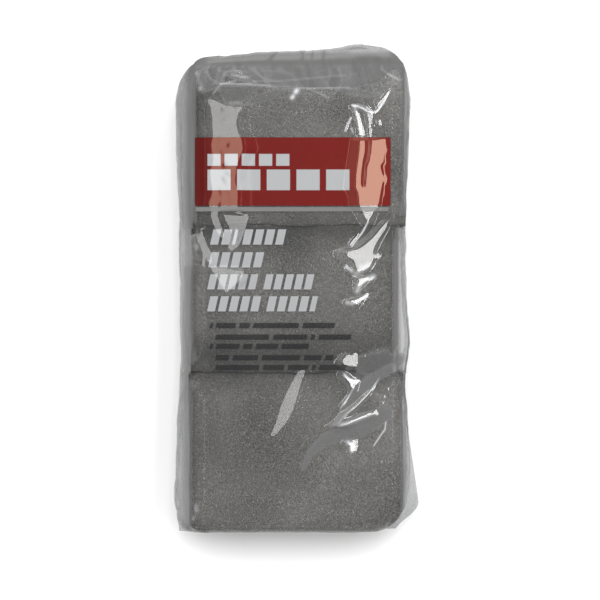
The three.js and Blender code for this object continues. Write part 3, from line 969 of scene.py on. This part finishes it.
class ShaderTree:
    """The nodes of one material or of the world."""

    def __init__(self, node_tree):
        self.tree = node_tree
        self.tree.nodes.clear()

    def node(self, kind, settings=None, sockets=None):
        """A new node of that type, its settings made first and then its sockets' values or links."""
        made = self.tree.nodes.new(kind)
        for name, value in (settings or {}).items():
            if name == "stops":
                self.set_stops(made, value)
            else:
                setattr(made, name, value)
        for name, value in (sockets or {}).items():
            if isinstance(value, Value):
                self.tree.links.new(value.socket, made.inputs[name])
            else:
                made.inputs[name].default_value = value
        return Made(self, made)

    @staticmethod
    def set_stops(node, stops):
        elements = node.color_ramp.elements
        for place, (position, colour) in enumerate(stops):
            element = elements[place] if place < len(elements) else elements.new(position)
            element.position = position
            element.color = (*colour, 1)

    def mix_colour(self, factor, first, second):
        settings = {"data_type": "RGBA"}
        # The colour sockets of a Mix node are its seventh and eighth.
        made = self.node("ShaderNodeMix", settings, {0: factor, 6: first, 7: second})
        return Value(self, made.made.outputs[2])

    def mix_shader(self, factor, first, second):
        return self.node("ShaderNodeMixShader", {}, {0: factor, 1: first, 2: second})["Shader"]

    def principled(self, sockets):
        return self.node("ShaderNodeBsdfPrincipled", {}, sockets)["BSDF"]

    def clear(self, colour):
        return self.node("ShaderNodeBsdfTransparent", {}, {"Color": colour})["BSDF"]

    def glossy(self, colour, roughness):
        return self.node("ShaderNodeBsdfGlossy", {}, {"Color": colour, "Roughness": roughness})["BSDF"]

    def scaled(self, vector, factor):
        sockets = {0: vector, "Scale": factor}
        return self.node("ShaderNodeVectorMath", {"operation": "SCALE"}, sockets)["Vector"]

    def multiplied(self, first, second):
        sockets = {0: first, 1: second}
        return self.node("ShaderNodeVectorMath", {"operation": "MULTIPLY"}, sockets)["Vector"]

    def point_value(self, label):
        """A value that the mesh holds at its points."""
        return self.node("ShaderNodeAttribute", {"attribute_name": label})["Fac"]

    def place(self):
        """Position on the object in millimetres, as three values and as one vector."""
        vector = self.scaled(self.node("ShaderNodeTexCoord")["Object"], 1 / MM)
        parts = self.node("ShaderNodeSeparateXYZ", {}, {0: vector})
        return parts["X"], parts["Y"], parts["Z"], vector

    def stretched(self, vector, turn, scale):
        """A position turned about Z, then scaled along each axis."""
        sockets = {"Vector": vector, "Angle": turn}
        turned = self.node("ShaderNodeVectorRotate", {"rotation_type": "Z_AXIS"}, sockets)
        return self.multiplied(turned["Vector"], scale)

    def noise(self, vector, scale, detail=2.0, distortion=0.0):
        sockets = {"Vector": vector, "Scale": scale, "Detail": detail, "Distortion": distortion}
        return self.node("ShaderNodeTexNoise", {}, sockets)["Fac"]

    def finish(self, shader, kind="ShaderNodeOutputMaterial"):
        self.node(kind, {}, {"Surface": shader})


def new_material(name):
    material = bpy.data.materials.new(name)
    material.use_nodes = True
    return material, ShaderTree(material.node_tree)


def rgba(colour, red=1, blue=1):
    """A colour as a shader's socket takes it, with its red and its blue scaled."""
    return (colour[0] * red, colour[1], colour[2] * blue, 1)


def dimmed(colour, share):
    return rgba([channel * share for channel in colour])


def painted_shade_across(x, y):
    """Painted shade and light across the pack: darker to the left, beside the left of the panel and low on
    the left, and above the lower joint darker at the left and lighter at the right.
    """
    corner = ((-41.5 - x) / 5).clamped() * ((y - 28) / 14).clamped()
    low_side = ((-37 - x) / 6).clamped() * y.inside(-90, -48, 8)
    above_joint = ((x - 8) * 0.016).math("MAXIMUM", -0.30).math("MINIMUM", 0.4) * y.inside(-38, -24, 8)
    return x * 0.0016 + 1 - corner * 0.30 - low_side * 0.19 + above_joint


def with_painted_shade(tree, spot, x, y, tone):
    """A colour of wool with painted shade below the upper joint, above the lower one and towards the left."""
    wander = (tree.noise(spot, 0.09, 2.0) - 0.5) * 5
    along = (y + wander + PACK_HALF) / (2 * PACK_HALF)
    stops = [((place + PACK_HALF) / (2 * PACK_HALF), (shade,) * 3) for place, shade in PAINTED_JOINT_SHADES]
    shade = tree.node("ShaderNodeValToRGB", {"stops": stops}, {0: along})["Color"]
    return tree.multiplied(tone, tree.scaled(shade, painted_shade_across(x, y)))


def wool_material(settings):
    """Matted steel fibres: fine streaks lying several ways, bright specks and soft dark patches, under
    painted shade along and across the pack.
    """
    material, tree = new_material("steel_wool")
    x, y, _, spot = tree.place()
    streaks = 0
    for turn, scale in ((0.35, (3.4, 1.3, 2.4)), (-0.5, (3.6, 1.4, 2.4)), (1.35, (3.5, 1.4, 2.4))):
        streaks = streaks + tree.noise(tree.stretched(spot, turn, scale), 1.0, 2.0, 0.5) * (1 / 3)
    grain = tree.noise(spot, 2.6, 0.0)
    patches = tree.noise(spot, 0.03, 0.0, 0.4)
    warm = ((tree.noise(spot, 0.9, 2.0) - 0.35) * 3.3).clamped()
    fibres = ((streaks - 0.5) * 1.2 + (grain - 0.5) * 3.6).math("ADD", 0.5, clamp=True)
    tone = tree.mix_colour(warm, rgba(settings.colour, 0.98, 1.03), rgba(settings.colour, 1.03, 0.96))
    tone = tree.scaled(tone, fibres + (patches - 0.5) * 1.2 + 0.5)
    bump = {"Strength": 0.5, "Distance": 0.0003, "Height": fibres + patches * 0.4}
    tree.finish(tree.principled({
        "Base Color": with_painted_shade(tree, spot, x, y, tone),
        "Metallic": 0.25,
        "Roughness": 0.62,
        "Normal": tree.node("ShaderNodeBump", {}, bump)["Normal"],
    }))
    return material


def fibre_material(settings):
    """Single steel threads whose tone differs at random: most of them dull, and a few painted bright as
    glints. They take the wool's painted shade.
    """
    material, tree = new_material("steel_fibre")
    x, y, _, spot = tree.place()
    tone = tree.point_value("tone")
    hue = (tone * 37).math("FRACT")
    colour = tree.mix_colour(hue, rgba(settings.colour, 0.97, 1.04), rgba(settings.colour, 1.04, 0.95))
    # Painted glints: the brightest few fibres are made several times lighter.
    colour = tree.scaled(colour, (tone ** 5) * 3.6 + 0.48)
    colour = with_painted_shade(tree, spot, x, y, colour)
    tree.finish(tree.principled({"Base Color": colour, "Metallic": 0.25, "Roughness": 0.45}))
    return material


def rectangle_mask(x, y, sides):
    left, right, low, high = sides
    return x.inside(left, right, 0.3) * y.inside(low, high, 0.3)


def block_mask(x, y, lines, slant):
    """1 on every block of some lines of blocks that lean by slant."""
    mask = 0
    for low, height, pitch, runs in lines:
        leaning = x - (y - low) * slant
        covered = 0
        for left, right in runs:
            run = leaning.inside(left, right, 0.25)
            if pitch:
                run = run * ((leaning - left) / pitch).math("FRACT").inside(0, BLOCK_SHARE, 0.25 / pitch)
            covered = run + covered
        mask = y.inside(low, low + height, 0.25) * covered + mask
    return mask.clamped()


def print_masks(x, y, z):
    """How far the panel, the strip, the light blocks and the dark bars cover each place."""
    front = (z - PRINT_FROM).clamped()
    light = (block_mask(x, y, PANEL_LINES, 0) + block_mask(x, y, LIGHT_LINES, SLANT)).clamped()
    masks = [rectangle_mask(x, y, RED_PANEL), rectangle_mask(x, y, GREY_STRIP), light]
    return [mask * front for mask in [*masks, block_mask(x, y, DARK_LINES, SLANT)]]


def ink_shader(tree, settings, x, y, spot, masks):
    """The ink of all the print, with the wool's painted shade beside the panel."""
    panel, strip, light, _ = masks
    mottle = tree.noise(spot, 0.35, 3.0)
    red = tree.mix_colour(mottle, dimmed(settings.red, 0.9), dimmed(settings.red, 1.1))
    colour = tree.mix_colour(panel, rgba(settings.dark), tree.scaled(red, painted_shade_across(x, y)))
    colour = tree.mix_colour(strip, colour, rgba(settings.strip))
    colour = tree.mix_colour(light, colour, rgba(settings.light))
    return tree.principled({"Base Color": colour, "Roughness": 0.5, "Specular IOR Level": 0.1})


def bare_film_shader(tree, settings, spot, facing):
    """Clear film under its milkiness, which grows along folds, in grey film and where it is edge on; the
    milkiness also holds painted highlights, and the grey film painted shade.
    """
    grey = tree.point_value("grey")
    scuffs = ((tree.noise(spot, 0.22, 4.0, 1.2) - 0.52) * 1.2).clamped()
    tilted = ((facing - 0.60) * 2.5).clamped()
    # The haze at each point also carries painted highlights and painted light on creased facets.
    milk = tree.point_value("haze") + settings.haze + tilted * settings.edge_haze
    milk = (milk + grey * settings.fold_haze + scuffs * 0.05).clamped()
    edge_on = (tilted + grey * 3).clamped()
    flat_clear, edge_clear = tree.clear(rgba(settings.tint)), tree.clear(dimmed(settings.tint, 0.80))
    clear = tree.mix_shader(edge_on, flat_clear, edge_clear)
    # The edge cloud and the deep cloud also paint shade: in the margins beside the wool, under the ears and
    # in the pocket at the right.
    colour = tree.mix_colour(grey, rgba(settings.edge_cloud), rgba(settings.deep_cloud))
    colour = tree.mix_colour(edge_on, rgba(settings.cloud), colour)
    cloud = tree.principled({"Base Color": colour, "Roughness": 0.6, "Specular IOR Level": 0.0})
    return tree.mix_shader(milk, clear, cloud)


def film_material(settings):
    """Clear glossy film with haze, and plain panels and bars of ink on its front."""
    material, tree = new_material("printed_film")
    x, y, z, spot = tree.place()
    masks = panel, strip, light, dark = print_masks(x, y, z)
    cover = panel.or_more(strip * 0.97).or_more(light * 0.93).or_more(dark * 0.66)
    facing = tree.node("ShaderNodeLayerWeight", {}, {"Blend": 0.5})["Facing"]
    bare = bare_film_shader(tree, settings, spot, facing)
    body = tree.mix_shader(cover, bare, ink_shader(tree, settings, x, y, spot, masks))
    plain_shine = tree.glossy((1, 1, 1, 1), settings.gloss)
    red_shine = tree.glossy((0.80, 0.58, 0.42, 1), settings.gloss)
    shine = tree.mix_shader((panel - light).clamped(), plain_shine, red_shine)
    mirror = (facing ** 5) * EDGE_ON_SHINE + FACE_ON_SHINE
    mirror = mirror * tree.point_value("shine") * (1 - strip * 0.75)
    tree.finish(tree.mix_shader(mirror, body, shine))
    return material


def floor_material(settings):
    material, tree = new_material("pale_floor")
    _, _, _, spot = tree.place()
    tone = tree.noise(spot, 0.004, 2.0)
    colour = tree.mix_colour(tone, dimmed(settings.floor_colour, 0.985), rgba(settings.floor_colour))
    tree.finish(tree.principled({"Base Color": colour, "Roughness": 0.7, "Specular IOR Level": 0.2}))
    return material


# ---- Building ------------------------------------------------------------------------------------
def build_pad(stack, layer, wool, steel, settings):
    """One pad and the loose fibres on it."""
    name = pad_node(stack, layer)
    points, quads = pad_surface(stack, layer)
    pad = make_object(f"{name}_wool", points, quads)
    pad.data.materials.append(wool)
    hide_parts(name)
    normals = normals_of(points, quads)
    if layer == TOP_LAYER:
        shown, count = normals[:, 2] > -0.2, settings.fibres
    else:
        shown, count = np.abs(normals[:, 2]) < 0.5, settings.side_fibres
    random = np.random.default_rng(STACKS.index(stack) * 100 + layer)
    longest = settings.fibre_length / MM
    width = settings.fibre_width / MM * (1 if layer == TOP_LAYER else 1.5)
    corners, ribbons, tone = fibre_mesh(points[shown], normals[shown], count, longest, width, random)
    fibres = make_object(f"{name}_fibres", corners, ribbons, tone=tone)
    fibres.data.materials.append(steel)
    for piece in (pad, fibres):
        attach(piece, "root")


class WOOLPACK_OT_pads(bpy.types.Operator):
    """Build the twelve pads of steel wool and their loose fibres"""

    bl_idname = "woolpack.pads"
    bl_label = "Build Pads"

    def execute(self, context):
        settings = context.scene.wool_settings
        wool, steel = wool_material(settings), fibre_material(settings)
        for stack in STACKS:
            for layer in range(1, LAYERS + 1):
                build_pad(stack, layer, wool, steel, settings)
        return {"FINISHED"}


class WOOLPACK_OT_bag(bpy.types.Operator):
    """Build the creased and printed bag of clear film"""

    bl_idname = "woolpack.bag"
    bl_label = "Build Bag"

    def execute(self, context):
        points, quads = crease_bag(clear_of_pads(bag_base()))
        columns = points.shape[1]
        last = points.shape[0] * columns - columns
        # The thin slit at each end is closed with one strip of film.
        ends = [list(reversed(range(columns))), [last + place for place in range(columns)]]
        normals = normals_of(points.reshape(-1, 3), quads).reshape(points.shape)
        values = {"haze": bag_haze_and_highlights(points), "shine": bag_shine(points, normals), "grey": bag_grey_and_shade(points)}
        bag = make_object("film_bag_skin", points.reshape(-1, 3), quads.tolist() + ends, **values)
        bag.data.materials.append(film_material(context.scene.film_settings))
        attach(bag, "root")
        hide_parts("film_bag")
        return {"FINISHED"}


def add_light(name, place, size, power, aimed):
    """A rectangular lamp that faces straight down or is aimed at the pack; size is its X and Y length."""
    lamp = bpy.data.lights.new(name, "AREA")
    lamp.shape = "RECTANGLE"
    lamp.size, lamp.size_y = size
    lamp.energy = power
    obj = bpy.data.objects.new(name, lamp)
    bpy.context.scene.collection.objects.link(obj)
    obj.location = place
    if aimed:
        aim = Vector((0, 0, SEAM_HEIGHT * MM)) - Vector(place)
        obj.rotation_mode = "QUATERNION"
        obj.rotation_quaternion = aim.to_track_quat("-Z", "Y")
    obj.visible_glossy = name not in HIDDEN_IN_GLOSS


class WOOLPACK_OT_stage(bpy.types.Operator):
    """Build the pale floor, the soft lights and the camera that looks straight down"""

    bl_idname = "woolpack.stage"
    bl_label = "Build Stage"

    def execute(self, context):
        settings = context.scene.studio_settings
        self.build_floor(settings)
        self.build_world(context.scene)
        for name, lamp in LAMPS.items():
            add_light(name, *lamp)
        self.build_camera(context.scene, settings)
        context.scene.view_settings.view_transform = "Standard"
        return {"FINISHED"}

    @staticmethod
    def build_floor(settings):
        across = np.linspace(-FLOOR_REACH, FLOOR_REACH, FLOOR_STEPS + 1)
        x, y = np.meshgrid(across, across, indexing="ij")
        number = np.arange(x.size).reshape(x.shape)
        points = np.stack([x, y, np.zeros_like(x)], axis=-1).reshape(-1, 3)
        floor = make_object("floor", points, grid_quads(number))
        floor.data.materials.append(floor_material(settings))

    @staticmethod
    def build_world(scene):
        """A pale room, brighter beyond the top end of the pack, that is dark straight overhead."""
        scene.world = bpy.data.worlds.new("studio")
        scene.world.use_nodes = True
        tree = ShaderTree(scene.world.node_tree)
        direction = tree.node("ShaderNodeTexCoord")["Generated"]
        parts = tree.node("ShaderNodeSeparateXYZ", {}, {0: direction})
        stops = [(0.0, (1, 1, 1)), (0.62, (0.9, 0.9, 0.9)), (0.88, (0.06, 0.06, 0.06))]
        ramp = tree.node("ShaderNodeValToRGB", {"stops": stops}, {0: parts["Z"]})
        strength = parts["Y"] * 0.75 + 1.2
        glow = tree.node("ShaderNodeBackground", {}, {"Color": ramp["Color"], "Strength": strength})
        tree.finish(glow["Background"], "ShaderNodeOutputWorld")

    @staticmethod
    def build_camera(scene, settings):
        camera = bpy.data.cameras.new("camera")
        height = settings.camera_height - BAG_HIGH[2] * MM
        camera.angle = 2 * math.atan(settings.field / 2 / height)
        camera.clip_start, camera.clip_end = 0.01, 20
        obj = bpy.data.objects.new("camera", camera)
        obj.location = (*CAMERA_OVER, settings.camera_height)
        scene.collection.objects.link(obj)
        scene.camera = obj


class WOOLPACK_PT_panel(bpy.types.Panel):
    """The pack's settings and the buttons that build it"""

    bl_idname = "WOOLPACK_PT_panel"
    bl_label = "Steel Wool Pack"
    bl_space_type = "VIEW_3D"
    bl_region_type = "UI"
    bl_category = "Steel Wool"

    def draw(self, context):
        scene = context.scene
        for settings in (scene.wool_settings, scene.film_settings, scene.studio_settings):
            for name in settings.__annotations__:
                self.layout.prop(settings, name)
        for operator in (WOOLPACK_OT_pads, WOOLPACK_OT_bag, WOOLPACK_OT_stage):
            self.layout.operator(operator.bl_idname)


CLASSES = (
    WoolSettings, FilmSettings, StudioSettings,
    WOOLPACK_OT_pads, WOOLPACK_OT_bag, WOOLPACK_OT_stage, WOOLPACK_PT_panel,
)


def register():
    for cls in CLASSES:
        bpy.utils.register_class(cls)
    bpy.types.Scene.wool_settings = PointerProperty(type=WoolSettings)
    bpy.types.Scene.film_settings = PointerProperty(type=FilmSettings)
    bpy.types.Scene.studio_settings = PointerProperty(type=StudioSettings)


def unregister():
    del bpy.types.Scene.studio_settings
    del bpy.types.Scene.film_settings
    del bpy.types.Scene.wool_settings
    for cls in reversed(CLASSES):
        bpy.utils.unregister_class(cls)


def main():
    register()
    bpy.ops.woolpack.stage()
    bpy.ops.woolpack.pads()
    bpy.ops.woolpack.bag()
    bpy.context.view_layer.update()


if __name__ == "__main__":
    main()
